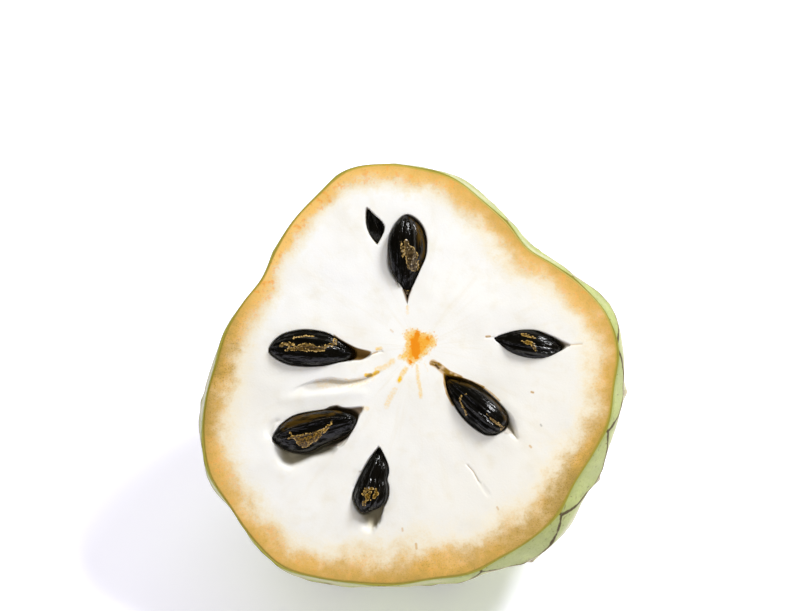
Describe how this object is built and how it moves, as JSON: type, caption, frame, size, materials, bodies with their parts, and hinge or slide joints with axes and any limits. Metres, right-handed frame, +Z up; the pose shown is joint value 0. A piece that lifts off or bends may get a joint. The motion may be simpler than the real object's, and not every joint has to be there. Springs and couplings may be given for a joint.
{
  "type": "custard apple half",
  "caption": "Fruit cut across its core and lying on its scaly green skin, with a tilted cream cut face that shows whole dark seeds in their hollows.",
  "frame": {"origin": "middle of the small flat spot on the skin that the half rests on", "axes": "+Z up; the cut face looks along -Y and up, 42 degrees above level, with its right-hand side towards +X; the blossom tip points along +Y and down"},
  "size_m": [0.0945, 0.0917, 0.0895],
  "materials": {
    "rind": "satin",
    "flesh": "satin",
    "seed": "gloss"
  },
  "bodies": {
    "root": {"rind": "rind", "flesh": "flesh", "seed_top": "seed", "seed_top_left": "seed", "seed_left": "seed", "seed_lower_left": "seed", "seed_bottom": "seed", "seed_lower_right": "seed", "seed_right": "seed"}
  },
  "joints": []
}
